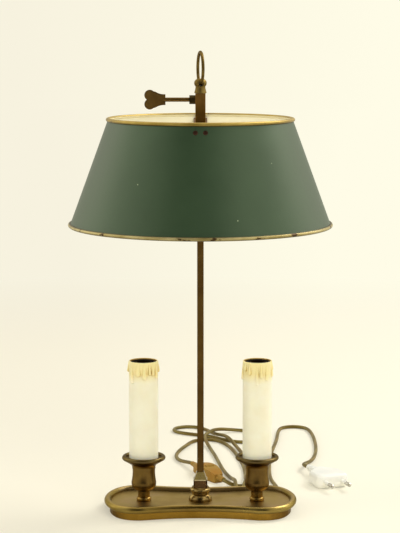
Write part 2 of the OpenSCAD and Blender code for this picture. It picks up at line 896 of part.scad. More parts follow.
// Heart-shaped plate: two lobes, then sides that curve in to a square neck
module heart_outline(inset) {
    shoulder = lobe_y + 0.9 * lobe_r;
    for (s = [-1, 1]) {
        translate([lobe_x, s * lobe_y]) circle(r = lobe_r - inset);
    }
    difference() {
        polygon([[key_neck_x + inset, inset - neck_half], [lobe_x, inset - shoulder],
            [lobe_x, shoulder - inset], [key_neck_x + inset, neck_half - inset]]);
        for (s = [-1, 1]) {
            translate([key_neck_x + 1.2, s * (neck_half + waist_curve_r)])
                circle(r = waist_curve_r + inset, $fn = 40);
        }
    }
}

module clamp_key() {
    shank_tip = rod_w / 2 + tip_gap;
    color("#4b3a20")
    translate([0, 0, key_z]) {
        translate([-shank_tip, 0, 0])
            rotate([0, -90, 0]) cylinder(h = key_neck_x - shank_tip + 1, r = key_r);
        rotate([90, 0, 180]) {
            translate([0, 0, -heart_t / 2 + heart_bevel])
                linear_extrude(heart_t - 2 * heart_bevel) heart_outline(0);
            translate([0, 0, -heart_t / 2]) linear_extrude(heart_t) heart_outline(heart_bevel);
        }
    }
}

// Radius of the middle of the shade's sheet at the height z
function sheet_mid_r(z) = shade_top_r + (shade_top_z - z) * tan(slope);

// Section of the sheet between two heights
module sheet_section(z0, z1, grow) {
    w = sheet_half + grow / cos(slope);
    polygon([[sheet_mid_r(z0) - w, z0], [sheet_mid_r(z0) + w, z0],
        [sheet_mid_r(z1) + w, z1], [sheet_mid_r(z1) - w, z1]]);
}

module at_rivets() {
    rivet_z = shade_top_z - rivet_drop;
    r = sheet_mid_r(rivet_z);
    step = asin(rivet_pitch / 2 / r);
    for (side = [-90, 90], k = [-1, 1]) {
        rotate([0, 0, side + k * step])
            translate([r, 0, rivet_z])
                rotate([0, 90 - slope, 0]) children();
    }
}

module shade_strap() {
    foot_r = sheet_mid_r(strap_z) - sheet_half;
    foot_t = strap_t / cos(slope);
    foot_low_r = foot_r + foot_drop * tan(slope);
    $fn = small_fn;
    color("#6b3f22")
    difference() {
        intersection() {
            rotate_extrude($fn = shade_fn) translate([0, strap_z]) polygon([
                [0, 0], [foot_r, 0], [foot_low_r, -foot_drop], [foot_low_r - foot_t, -foot_drop],
                [foot_r + strap_t * tan(slope) - foot_t, -strap_t], [0, -strap_t]]);
            translate([0, 0, strap_z - foot_drop / 2])
                cube([strap_w, 3 * shade_top_r, 2 * foot_drop], center = true);
        }
        translate([0, 0, strap_z - strap_t - eps])
            linear_extrude(strap_t + 2 * eps) chamfered_square(sleeve_w, sleeve_chamfer);
        at_rivets() {
            cylinder(h = 4 * strap_t, r = rivet_r + rod_fit, center = true);
        }
    }
}

module strap_rivets() {
    $fn = small_fn;
    color("#5a331c")
    at_rivets() {
        translate([0, 0, -sheet_t / 2 - strap_t - 0.6])
            cylinder(h = sheet_t + strap_t + 0.65, r = rivet_r);
        translate([0, 0, -sheet_t / 2 - strap_t - 0.8]) cylinder(h = 0.7, r = rivet_head_r);
        translate([0, 0, sheet_t / 2 + 0.04]) cylinder(h = 0.8, r1 = rivet_head_r, r2 = rivet_head_r - 0.7);
    }
}

module shade_shell() {
    $fn = small_fn;
    color("#4c6a4e")
    difference() {
        rotate_extrude($fn = shade_fn) sheet_section(shade_bottom_z, shade_top_z, 0);
        at_rivets() {
            cylinder(h = 4 * sheet_t, r = rivet_r + rod_fit, center = true);
        }
    }
}

// Wired edge: a round bead with a slot that the sheet sits in
module wired_edge(z, slot_z0, slot_z1) {
    rotate_extrude($fn = shade_fn) difference() {
        translate([sheet_mid_r(z) + wire_out, z]) circle(r = wire_edge_r, $fn = small_fn);
        sheet_section(slot_z0, slot_z1, edge_play);
    }
}

module top_rim() {
    color("#b28f42")
    wired_edge(shade_top_z, shade_top_z - 2 * wire_edge_r, shade_top_z);
}

module bottom_rim() {
    color("#b28f42")
    wired_edge(shade_bottom_z, shade_bottom_z, shade_bottom_z + 2 * wire_edge_r);
}

module cord_base() {
    color("#7c6c40")
    swept_tube(cord_base_path, cord_r, cord_sides, [0, 1, 0], -heading_dir(switch_heading),
        [0, 0, 1]);
}

module cord_plug() {
    color("#7c6c40")
    swept_tube(cord_plug_path, cord_r, cord_sides, -heading_dir(switch_heading),
        heading_dir(plug_heading), [0, 0, 1]);
}

module at_switch() {
    translate([switch_at.x, switch_at.y, 0]) rotate([0, 0, switch_heading]) children();
}

// Pointed-oval plan of the switch, cut off where its noses begin
module switch_plan(inset) {
    intersection() {
        translate([0, lens_r - switch_w / 2]) circle(r = lens_r - inset, $fn = 120);
        translate([0, switch_w / 2 - lens_r]) circle(r = lens_r - inset, $fn = 120);
        square([switch_len - 2 * inset, switch_w], center = true);
    }
}

// Half of the tapered nose at each end, above (1) or below (-1) the seam
module half_noses(side) {
    intersection() {
        for (m = [0, 1]) {
            mirror([m, 0, 0]) translate([switch_half - switch_wall / 2, 0, seam_z])
                rotate([0, 90, 0])
                    cylinder(h = nose_len + switch_wall / 2, r1 = nose_r, r2 = nose_tip_r);
        }
        translate([0, 0, seam_z + side * nose_r])
            cube([4 * switch_len, 4 * nose_r, 2 * nose_r], center = true);
    }
}

module switch_bottom() {
    $fn = small_fn;
    color("#b08a3c")
    at_switch() difference() {
        union() {
            difference() {
                union() {
                    translate([0, 0, 0.8]) linear_extrude(seam_z - 0.8) switch_plan(0);
                    linear_extrude(seam_z) switch_plan(0.8);
                }
                translate([0, 0, switch_wall]) linear_extrude(seam_z) switch_plan(switch_wall);
            }
            half_noses(-1);
            for (s = [-1, 1]) {
                translate([s * switch_screw_x, 0, switch_wall / 2])
                    cylinder(h = seam_z - switch_wall / 2, r = switch_screw_r + 1.5);
            }
        }
        for (s = [-1, 1]) {
            translate([s * switch_screw_x, 0, -eps])
                cylinder(h = seam_z + 2 * eps, r = switch_screw_r + play);
            translate([s * switch_screw_x, 0, -eps])
                cylinder(h = eps + 1.4, r = switch_screw_r + 1 + play);
        }
    }
}

module switch_top() {
    roof_z = switch_h - switch_wall;
    $fn = small_fn;
    color("#b08a3c")
    at_switch() {
        difference() {
            union() {
                difference() {
                    intersection() {
                        translate([0, 0, seam_z])
                            linear_extrude(switch_h - seam_z + 1) switch_plan(0);
                        translate([0, 0, switch_h - crown_r]) rotate([90, 0, 0])
                            cylinder(h = 2 * switch_w, r = crown_r, center = true, $fn = 120);
                    }
                    intersection() {
                        translate([0, 0, seam_z - eps])
                            linear_extrude(switch_h - seam_z + 1) switch_plan(switch_wall);
                        translate([0, 0, switch_h - crown_r]) rotate([90, 0, 0])
                            cylinder(h = 2 * switch_w, r = crown_r - switch_wall, center = true,
                                $fn = 120);
                    }
                }
                for (s = [-1, 1]) {
                    translate([s * switch_screw_x, 0, seam_z])
                        cylinder(h = post_top - seam_z, r = post_r);
                    translate([-3, s * (rocker_w / 2 + rocker_gap + cheek_t / 2) - cheek_t / 2,
                        axle_z - 2])
                        cube([6, cheek_t, roof_z - axle_z + 2.8]);
                }
            }
            translate([0, 0, axle_z]) rotate([90, 0, 0])
                cylinder(h = rocker_w + 2 * rocker_gap, r = rocker_r + rocker_gap,
                    center = true, $fn = 28);
            translate([0, 0, axle_z]) rotate([90, 0, 0])
                cylinder(h = rocker_w + 2 * (rocker_gap + cheek_t) + 0.2, r = axle_r + axle_fit,
                    center = true);
            for (s = [-1, 1]) {
                translate([s * switch_screw_x, 0, seam_z - eps])
                    cylinder(h = screw_grip + 0.2 + eps, r = switch_screw_r + rod_fit);
            }
        }
        half_noses(1);
    }
}

module switch_screws() {
    $fn = small_fn;
    color("#8d8a80")
    at_switch() {
        for (s = [-1, 1]) {
            translate([s * switch_screw_x, 0, 0.3]) {
                cylinder(h = 1.1, r = switch_screw_r + 1);
                cylinder(h = seam_z + screw_grip - 0.3, r = switch_screw_r);
            }
        }
    }
}

// Rocker: its ends are arcs about its own axle and its top dips to the middle
module switch_rocker() {
    color("#a17c34")
    at_switch() translate([0, 0, axle_z]) rotate([0, -rocker_tilt, 0]) rotate([90, 0, 0]) {
        translate([0, 0, -rocker_w / 2]) linear_extrude(rocker_w) intersection() {
            circle(r = rocker_r, $fn = 28);
            polygon([[-rocker_r, -3], [rocker_r, -3], [rocker_r, 4.3], [0, 3.3],
                [-rocker_r, 4.3]]);
        }
        cylinder(h = rocker_w + 2 * (rocker_gap + cheek_t - 0.2), r = axle_r, center = true);
    }
}

module at_plug() {
    translate([plug_tip.x, plug_tip.y, plug_z]) rotate([0, 0, plug_heading]) children();
}

// Flat body that widens from the cord to the pins, with round corners and edges
module plug_body() {
    tail = [plug_relief_len + plug_corner_r, plug_tail_w / 2 - plug_corner_r];
    hip = [plug_relief_len + 0.45 * plug_len, plug_w / 2 - plug_corner_r];
    face = [plug_end - plug_corner_r, plug_w / 2 - plug_corner_r];
    $fn = small_fn;
    color("#eceeea")
    at_plug() difference() {
        hull() {
            for (s = [-1, 1], p = [tail, hip, face], a = [0 : 30 : 90]) {
                translate([p.x, s * p.y, 0])
                    cylinder(h = plug_t - 2 * plug_edge * (1 - sin(a)),
                        r = plug_corner_r - plug_edge * (1 - cos(a)), center = true);
            }
        }
        for (s = [-1, 1]) {
            translate([plug_end - pin_seat, s * pin_pitch / 2, 0])
                rotate([0, 90, 0]) cylinder(h = pin_seat + eps, r = pin_core_r + pin_fit);
        }
        translate([plug_relief_len - eps, 0, 0]) rotate([0, 90, 0])
            cylinder(h = relief_seat + eps, r = plug_relief_r - 1 + pin_fit);
    }
}

// Ribbed strain relief between the cord and the plug
module plug_relief() {
    rib_pitch = plug_relief_len / 5;
    $fn = small_fn;
    color("#e4e6e2")
    at_plug() rotate([0, 90, 0]) {
        cylinder(h = plug_relief_len, r1 = cord_r + 0.6, r2 = plug_relief_r - 1);
        translate([0, 0, plug_relief_len - eps])
            cylinder(h = relief_seat + eps, r = plug_relief_r - 1);
        for (i = [1 : 4]) {
            translate([0, 0, rib_pitch * i])
                cylinder(h = rib_pitch / 2, r = cord_r + 1 + 0.45 * i);
        }
    }
}

module plug_pins() {
    $fn = small_fn;
    color("#c3b083")
    at_plug() {
        for (s = [-1, 1]) {
            translate([plug_end, s * pin_pitch / 2, 0]) rotate([0, 90, 0]) {
                translate([0, 0, -pin_seat]) cylinder(h = pin_seat + pin_len - 1, r = pin_core_r);
                translate([0, 0, pin_len - pin_metal_len])
                    cylinder(h = pin_metal_len - 1, r = pin_r);
                translate([0, 0, pin_len - 1]) cylinder(h = 1, r1 = pin_r, r2 = pin_r - 0.8);
            }
        }
    }
}

module pin_sleeves() {
    $fn = small_fn;
    color("#f0f0ec")
    at_plug() {
        for (s = [-1, 1]) {
            translate([plug_end, s * pin_pitch / 2, 0]) rotate([0, 90, 0]) difference() {
                cylinder(h = pin_len - pin_metal_len, r = pin_r);
                translate([0, 0, -eps])
                    cylinder(h = pin_len - pin_metal_len + 2 * eps, r = pin_core_r + pin_fit);
            }
        }
    }
}

base_tray();
bottom_plate();
felt_pad();
plate_screws();
cord_bush();
terminal_block();
inner_lead();
wire_left();
wire_right();
hub_flange();
collar();
rod();
rod_nut();
rod_washer();
candle_cup_left();
candle_cup_right();
stem_tube_left();
stem_tube_right();
tube_nuts();
socket_body_left();
socket_body_right();
socket_shell_left();
socket_shell_right();
socket_contacts();
candle_sleeve_left();
candle_sleeve_right();
finial();
finial_ring();
shade_sleeve();
key_boss();
clamp_key();
shade_strap();
strap_rivets();
shade_shell();
top_rim();
bottom_rim();
cord_base();
cord_plug();
switch_bottom();
switch_top();
switch_screws();
switch_rocker();
plug_body();
plug_relief();
plug_pins();
pin_sleeves();
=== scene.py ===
import math

import bmesh
import bpy
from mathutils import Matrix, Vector


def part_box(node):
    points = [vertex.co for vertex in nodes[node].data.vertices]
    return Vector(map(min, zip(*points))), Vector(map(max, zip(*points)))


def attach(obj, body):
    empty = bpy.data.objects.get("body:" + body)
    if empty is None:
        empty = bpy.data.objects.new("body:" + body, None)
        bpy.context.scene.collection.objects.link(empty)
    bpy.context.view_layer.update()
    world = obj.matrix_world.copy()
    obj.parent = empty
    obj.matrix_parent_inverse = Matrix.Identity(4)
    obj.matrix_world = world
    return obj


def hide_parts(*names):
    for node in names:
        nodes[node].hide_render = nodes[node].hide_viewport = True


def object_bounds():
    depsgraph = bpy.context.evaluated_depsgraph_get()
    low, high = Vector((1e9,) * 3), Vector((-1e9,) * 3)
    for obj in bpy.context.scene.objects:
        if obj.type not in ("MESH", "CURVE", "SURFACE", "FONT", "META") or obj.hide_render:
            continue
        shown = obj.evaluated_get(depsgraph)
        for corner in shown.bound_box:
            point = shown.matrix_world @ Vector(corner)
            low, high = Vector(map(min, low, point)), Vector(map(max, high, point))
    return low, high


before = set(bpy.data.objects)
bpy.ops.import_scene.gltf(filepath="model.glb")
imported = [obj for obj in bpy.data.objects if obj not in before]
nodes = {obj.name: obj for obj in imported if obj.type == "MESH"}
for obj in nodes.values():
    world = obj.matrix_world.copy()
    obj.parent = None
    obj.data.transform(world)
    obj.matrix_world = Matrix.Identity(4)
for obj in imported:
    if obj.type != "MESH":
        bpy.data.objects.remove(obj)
cad_low, cad_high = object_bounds()

MM = 0.001

# The photograph's size and focal length in pixels, and the camera's sensor, place and
# downward tilt in millimetres and degrees
PICTURE = (400, 533)
FOCAL_PX = 1800
SENSOR = 36
CAMERA_AT = (-0.4, -1692, 467.3)
CAMERA_DOWN = 7.75

# The cord in millimetres: its radius, how far its two cores stand out of the round and the
# length in which they turn once
CORD_R = 2.0
CORD_LOBE = 0.08
CORD_TWIST = 90
CORD_SIDES = 14
# Distance between the points of a cord's line
CORD_STEP = 2.0
# Rounds that ease the tightest turns, and the points at each end that are eased less
EASE_ROUNDS = 13
EASE_ENDS = 12

# Heights in metres at which a finish changes: the plinth's top, the depth of a cup's lip, the
# height of its foot, and the pyramid on the collar
PLINTH_TOP = 0.0072
LIP_BAND = 0.006
FOOT_BAND = 0.009
PYRAMID_H = 0.007
# Where the amber wax begins on a candle, and the height over which it deepens
WAX_FROM = 0.124
WAX_BLEND = 0.022
# Small chips in the shade's green paint: place across, height and radius in millimetres
SHADE_SPECKS = ((-56, 323, 0.5), (33, 293, 0.55), (64, 341, 0.35))
# Worn places at the front of the bottom rim: place across, half width, and how much is chipped
RIM_WEAR = ((0.084, 0.018, 0.12), (0.012, 0.026, 0.13))
# Rays that look for the recesses that are painted darker, as shade
HOLLOW_RAYS = 6


def rgb(red, green, blue):
    """A colour given as it shows on a screen, 0 to 255, as Blender's linear numbers."""
    def linear(v):
        v /= 255
        return v / 12.92 if v <= 0.04045 else ((v + 0.055) / 1.055) ** 2.4
    return (linear(red), linear(green), linear(blue), 1)


# ---------------------------------------------------------------- camera

lens = bpy.data.cameras.new("camera")
lens.sensor_width = SENSOR
lens.lens = FOCAL_PX / PICTURE[1] * SENSOR
lens.clip_end = 50
camera = bpy.data.objects.new("camera", lens)
camera.location = [v * MM for v in CAMERA_AT]
camera.rotation_euler = (math.radians(90 - CAMERA_DOWN), 0, 0)
bpy.context.scene.collection.objects.link(camera)
bpy.context.scene.camera = camera


# ---------------------------------------------------------------- cords

def spline_tangents(points, first, last):
    """Tangents of the smooth cubic through points, with the end directions given."""
    spans = [(b - a).length for a, b in zip(points, points[1:])]
    count = len(points)
    # The tridiagonal system of a cubic spline, solved by elimination
    upper = [0.0] * count
    right = [first.copy()] + [None] * (count - 1)
    for i in range(1, count - 1):
        before, after = spans[i - 1], spans[i]
        side = 3 * (after / before * (points[i] - points[i - 1])
                    + before / after * (points[i + 1] - points[i]))
        pivot = 2 * (before + after) - after * upper[i - 1]
        upper[i] = before / pivot
        right[i] = (side - after * right[i - 1]) / pivot
    tangents = [None] * count
    tangents[-1] = last.copy()
    for i in range(count - 2, -1, -1):
        tangents[i] = right[i] - upper[i] * tangents[i + 1]
    return tangents, spans


def smooth_route(points, first, last):
    """Evenly spaced points along a smooth line through points, which stays on the table."""
    points = [Vector(p) for p in points]
    tangents, spans = spline_tangents(points, Vector(first), Vector(last))
    line = []
    for i, span in enumerate(spans):
        pieces = max(1, round(span / CORD_STEP))
        for k in range(pieces):
            u = k / pieces
            line.append((2 * u**3 - 3 * u**2 + 1) * points[i]
                        + (u**3 - 2 * u**2 + u) * span * tangents[i]
                        + (3 * u**2 - 2 * u**3) * points[i + 1]
                        + (u**3 - u**2) * span * tangents[i + 1])
    line.append(points[-1])
    for p in line:
        p.z = max(p.z, CORD_R)
    for _ in range(EASE_ROUNDS):
        moved = [p.copy() for p in line]
        for i in range(1, len(line) - 1):
            share = 0.5 * min(1, i / EASE_ENDS, (len(line) - 1 - i) / EASE_ENDS)
            middle = (line[i - 1] + line[i + 1]) / 2
            moved[i] = line[i].lerp(middle, share)
        line = moved
    return line


def along(degrees):
    """The level direction that lies so many degrees from +X."""
    return Vector((math.cos(math.radians(degrees)), math.sin(math.radians(degrees)), 0))


def cord_tube(name, line):
    """The cord's mesh along line, with u along it in metres and v once round it."""
    mesh = bpy.data.meshes.new(name)
    bm = bmesh.new()
    uv = bm.loops.layers.uv.new("along")
    rings = []
    distances = []
    side = Vector((0, 0, 1))
    run = 0.0
    for i, p in enumerate(line):
        ahead = line[min(i + 1, len(line) - 1)] - line[max(i - 1, 0)]
        ahead.normalize()
        side = (side - side.dot(ahead) * ahead).normalized()
        other = ahead.cross(side)
        if i:
            run += (p - line[i - 1]).length
        turn = 2 * math.pi * run / CORD_TWIST
        ring = []
        for k in range(CORD_SIDES):
            a = 2 * math.pi * k / CORD_SIDES
            r = CORD_R - CORD_LOBE * (1 - math.cos(2 * (a - turn))) / 2
            ring.append(bm.verts.new((p + r * (math.cos(a) * side + math.sin(a) * other)) * MM))
        rings.append(ring)
        distances.append(run)
    for i in range(len(rings) - 1):
        for k in range(CORD_SIDES):
            n = (k + 1) % CORD_SIDES
            face = bm.faces.new((rings[i][k], rings[i][n], rings[i + 1][n], rings[i + 1][k]))
            face.smooth = True
            corners = ((i, k), (i, k + 1), (i + 1, k + 1), (i + 1, k))
            for loop, (a, b) in zip(face.loops, corners):
                loop[uv].uv = (distances[a] * MM, b / CORD_SIDES)
    bm.faces.new(list(reversed(rings[0])))
    bm.faces.new(rings[-1])
    bmesh.ops.recalc_face_normals(bm, faces=bm.faces)
    bm.to_mesh(mesh)
    bm.free()
    piece = bpy.data.objects.new(name, mesh)
    bpy.context.scene.collection.objects.link(piece)
    return piece


# Where the switch and the plug lie, in millimetres and degrees, and each stretch's route from
# its exit to its far end, both as in the CAD
SWITCH_HEADING = -65
SWITCH_AT = Vector((7.7, 124.4, 6))
SWITCH_END = 38
PLUG_HEADING = -70
PLUG_TIP = Vector((112.6, 138.4, 7.3))
near_end = SWITCH_AT + SWITCH_END * along(SWITCH_HEADING)
far_end = SWITCH_AT - SWITCH_END * along(SWITCH_HEADING)
cord_exit = Vector((36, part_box("cord_bush")[1].y / MM, 3.8))

BASE_ROUTE = [
    cord_exit, (35.6, 68, 5.9), (35.1, 81, 7.4), (34, 94, 5.6), (31.8, 108, 3),
    (27, 130, 2), (16.5, 205, 2), (7, 264, 4), (5, 285, 6.4), (9.5, 302, 6.6),
    (18, 317, 6.4), (30, 328, 4), (44, 331, 2.2), (60, 325, 2), (72, 310, 2),
    (74, 291, 2), (63, 276, 2), (45, 273, 2), (27, 284, 2), (9, 302, 2),
    (-8, 311, 2), (-20, 317.5, 2), (-28, 323.7, 2), (-31, 333.5, 2),
    (-28, 343.3, 2), (-20, 349.5, 2), (-9.6, 350, 2), (0, 344, 2), (8, 332, 2),
    (15.3, 316, 2), (22, 300, 4.2), (29, 283, 6.4), (37, 259, 4), (43, 235, 2),
    (49, 190, 2), (53, 140, 2), (56.9, 98, 2), (54.5, 88.6, 2), (48.2, 82, 2),
    (39.4, 79.5, 2.1), (30.6, 81.9, 3.9), near_end,
]
PLUG_ROUTE = [
    far_end, (-12, 167, 5.2), (-17.5, 178, 3.4), (-23, 190, 2.2), (-26, 205, 2),
    (-25, 222, 2), (-21, 240, 2), (-14, 262, 2), (-9.3, 274.5, 2), (-3, 283, 2),
    (7, 286, 2), (17, 283, 2), (23.3, 274.5, 2), (30, 258, 2), (38, 222, 2),
    (44, 180, 2), (46.5, 140, 2), (46.5, 118, 2.6), (46.2, 100, 4.8),
    (45.6, 83, 6.5), (43.2, 68, 4.2), (46.3, 58, 2.6), (54.7, 51.8, 2),
    (65.3, 51.8, 2), (73.7, 58, 2), (77, 68, 2), (74, 95, 2), (72, 140, 2),
    (77, 220, 2), (86, 290, 2), (90.5, 334, 2), (93.7, 344, 2),
    (102.2, 350.2, 2), (112.8, 350.2, 2), (121.3, 344, 2), (124.5, 334, 2),
    (128, 285, 2), (125, 220, 2), (114, 173, 3.5), (108.5, 150.5, 6.6), PLUG_TIP,
]

base_line = smooth_route(BASE_ROUTE, (0, 1, 0), -along(SWITCH_HEADING))
plug_line = smooth_route(PLUG_ROUTE, -along(SWITCH_HEADING), along(PLUG_HEADING))
cord_near = cord_tube("cord_near", base_line)
cord_far = cord_tube("cord_far", plug_line)
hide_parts("cord_base")
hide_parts("cord_plug")
for piece in (cord_near, cord_far):
    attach(piece, "base")


# ---------------------------------------------------------------- materials

class Nodes:
    """A node tree, with short ways to add the nodes that the materials and the world use."""

    def __init__(self, tree):
        self.tree = tree

    def feed(self, value, socket):
        """Links socket to a node's output, or sets a plain value on it."""
        if isinstance(value, bpy.types.NodeSocket):
            self.tree.links.new(value, socket)
        else:
            socket.default_value = value

    def node(self, kind, **inputs):
        """A node with its inputs fed, by name or, as _0, _1 and so on, by number."""
        made = self.tree.nodes.new("ShaderNode" + kind)
        for key, value in inputs.items():
            number = key[1:]
            socket = int(number) if number.isdigit() else key.replace("_", " ")
            self.feed(value, made.inputs[socket])
        return made

    def axes(self, vector):
        """The X, Y and Z of a vector."""
        return self.node("SeparateXYZ", Vector=vector).outputs

    def math(self, operation, a, b=0.0, c=0.0, clamp=False):
        made = self.node("Math", _0=a, _1=b, _2=c)
        made.operation = operation
        made.use_clamp = clamp
        return made.outputs[0]

    def product(self, a, b):
        return self.math("MULTIPLY", a, b)

    def distance(self, *parts):
        """The root of the sum of the squares of two or three parts."""
        total = 0.0
        for part in parts:
            total = self.math("MULTIPLY_ADD", part, part, total)
        return self.math("SQRT", total)

    def rise(self, value, start, width):
        """0 up to start and 1 from start + width on."""
        return self.math("MULTIPLY_ADD", value, 1 / width, -start / width, clamp=True)

    def fall(self, value, end, width):
        """1 up to end - width and 0 from end on."""
        return self.math("MULTIPLY_ADD", value, -1 / width, end / width, clamp=True)

    def near(self, value, centre, reach):
        """1 at centre, falling to 0 at reach from it."""
        return self.fall(self.math("ABSOLUTE", self.math("SUBTRACT", value, centre)),
                         reach, reach)

    def range(self, value, low, high):
        """value, which runs from 0 to 1, moved to run from low to high."""
        return self.math("MULTIPLY_ADD", value, high - low, low)

    def ramp(self, value, *stops):
        """A colour or grey for each position, from (position, colour) pairs."""
        made = self.node("ValToRGB", Fac=value)
        band = made.color_ramp
        while len(band.elements) < len(stops):
            band.elements.new(0.5)
        for element, (position, colour) in zip(band.elements, stops):
            element.position = position
            element.color = colour if hasattr(colour, "__len__") else (colour,) * 3 + (1,)
        return made.outputs["Color"]

    def blend(self, share, a, b):
        """Colour a where share is 0 and colour b where it is 1."""
        made = self.tree.nodes.new("ShaderNodeMix")
        made.data_type = "RGBA"
        for socket, value in ((0, share), (6, a), (7, b)):
            self.feed(value, made.inputs[socket])
        return made.outputs[2]


class Paint(Nodes):
    """A material on the standard shader; place is the object's own coordinates."""

    def __init__(self, name, **shader):
        self.material = bpy.data.materials.new(name)
        self.material.use_nodes = True
        super().__init__(self.material.node_tree)
        self.shader = self.tree.nodes["Principled BSDF"]
        for socket, value in shader.items():
            self.shader.inputs[socket.replace("_", " ")].default_value = value
        self.place = self.tree.nodes.new("ShaderNodeTexCoord").outputs["Object"]

    def link(self, value, socket):
        self.tree.links.new(value, self.shader.inputs[socket])

    def linked(self, socket):
        """What feeds the shader's socket so far."""
        return self.shader.inputs[socket].links[0].from_socket

    def noise(self, scale, detail=3, roughness=0.55, stretch=(1, 1, 1), distortion=0.0):
        """Noise with scale features to the metre."""
        spread = self.node("Mapping", Vector=self.place)
        spread.inputs["Scale"].default_value = stretch
        made = self.node("TexNoise", Vector=spread.outputs[0], Scale=scale, Detail=detail,
                         Roughness=roughness, Distortion=distortion)
        return made.outputs["Fac"]

    def open_air(self, reach):
        """0 in a deep recess and 1 on open surfaces."""
        made = self.node("AmbientOcclusion", Distance=reach)
        made.samples = HOLLOW_RAYS
        return made.outputs["AO"]

    def bump(self, height, distance, strength):
        made = self.node("Bump", Height=height, Strength=strength, Distance=distance)
        self.link(made.outputs[0], "Normal")


def brass(name, light, dark, painted_light, rough, patches=60, grain=(1, 1, 1), recess_shade=0.6, flecks=0.22):
    """Old brass: two tones in patches, painted shade in the recesses and fine wear.

    rough is the shader's roughness on the light and on the dark patches, patches their number
    to the metre, and recess_shade and flecks the shares of the painted shade and of dark that
    show."""
    p = Paint(name, Metallic=1.0, Specular_Tint=(*[(1 + v) / 2 for v in light[:3]], 1))
    patch = p.noise(patches, detail=4, roughness=0.6)
    tone = p.blend(p.ramp(patch, (0.35, 0.0), (0.65, 1.0)), dark, light)
    fleck = p.noise(900, detail=2, stretch=grain)
    tone = p.blend(p.ramp(fleck, (0.3, flecks), (0.7, 0.0)), tone, dark)
    # Painted shade: the recesses that ambient occlusion finds take the darker tone
    tone = p.blend(p.ramp(p.open_air(0.006), (0.2, recess_shade), (0.8, 0.0)), tone, painted_light)
    p.link(tone, "Base Color")
    p.link(p.range(patch, rough[1], rough[0]), "Roughness")
    p.bump(fleck, 0.00006, 1.6 * flecks)
    return p


def tray_paint():
    """The tray's brass: satin floor painted paler where it faces up, greyed olive bead, deeper
    gold and brown on its plinth, and painted shade on its far side.
    """
    p = brass("tray_brass", rgb(150, 131, 74), rgb(124, 103, 48), rgb(84, 64, 28), (0.24, 0.34),
              patches=30, recess_shade=0.3, flecks=0.06)
    x, y, z = p.axes(p.place)
    across = p.math("ABSOLUTE", x)
    facing = p.axes(p.node("NewGeometry").outputs["Normal"])
    patch = p.noise(38, detail=4, roughness=0.6)
    # The bead is redder along the waist
    tone = p.blend(p.product(p.fall(across, 0.07, 0.07), 0.6), p.linked("Base Color"),
                   rgb(118, 90, 42))
    plinth = p.ramp(patch, (0.35, rgb(134, 102, 36)), (0.65, rgb(152, 118, 48)))
    ends = p.math("MULTIPLY_ADD", across, 10.0, p.product(patch, 0.4))
    plinth = p.blend(p.ramp(ends, (0.86, 0.0), (1.0, 0.75)), plinth, rgb(88, 64, 34))
    tone = p.blend(p.fall(z, PLINTH_TOP, 0.001), tone, plinth)
    # The far side of the bead is painted darker, as shade; the inner wall that faces the front
    # is painted brown and made less metallic, so that it shows lighter than its dark reflection:
    # painted light
    rear = p.rise(y, 0.01, 0.02)
    tone = p.blend(p.product(rear, 0.75), tone, rgb(82, 69, 36))
    painted_inner_wall = p.product(rear, p.fall(facing[1], -0.2, 0.5))
    tone = p.blend(p.product(painted_inner_wall, 0.8), tone, rgb(98, 78, 42))
    p.link(p.range(painted_inner_wall, 1.0, 0.3), "Metallic")
    # Painted light: faces that look up, the floor most of all, are paler, and a little rougher
    # as a satin finish
    lit_upward_faces = p.ramp(facing[2], (0.8, 0.0), (0.97, 1.0))
    floor = p.ramp(patch, (0.34, rgb(164, 139, 88)), (0.5, rgb(180, 157, 101)),
                   (0.66, rgb(186, 161, 119)))
    p.link(p.blend(p.product(lit_upward_faces, 0.85), tone, floor), "Base Color")
    p.link(p.math("MULTIPLY_ADD", lit_upward_faces, 0.06, p.linked("Roughness")), "Roughness")
    return p


def cup_paint():
    """The cups' brass, greyer on the dished lip, with a painted highlight that makes the foot
    paler.
    """
    p = brass("cup_brass", rgb(122, 98, 50), rgb(92, 70, 37), rgb(60, 42, 32), (0.24, 0.38),
              patches=50, recess_shade=0.2)
    low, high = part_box("candle_cup_left")
    height = p.axes(p.place)[2]
    lip = p.rise(height, high.z - LIP_BAND, 0.001)
    tone = p.blend(p.product(lip, 0.7), p.linked("Base Color"), rgb(98, 87, 58))
    # Painted highlight: the foot is paler
    lit_foot = p.fall(height, low.z + FOOT_BAND, 0.002)
    p.link(p.blend(p.product(lit_foot, 0.6), tone, rgb(158, 128, 70)), "Base Color")
    return p


def plain(name, colour, spot, rough, **shader):
    """A moulded or painted finish with faint cloudiness and a fine texture."""
    p = Paint(name, **shader)
    cloud = p.noise(50, detail=3)
    grain = p.noise(1600, detail=2)
    p.link(p.blend(p.ramp(cloud, (0.35, 0.0), (0.7, 1.0)), colour, spot), "Base Color")
    p.link(p.range(grain, rough - 0.06, rough + 0.06), "Roughness")
    p.bump(grain, 0.00004, 0.4)
    return p


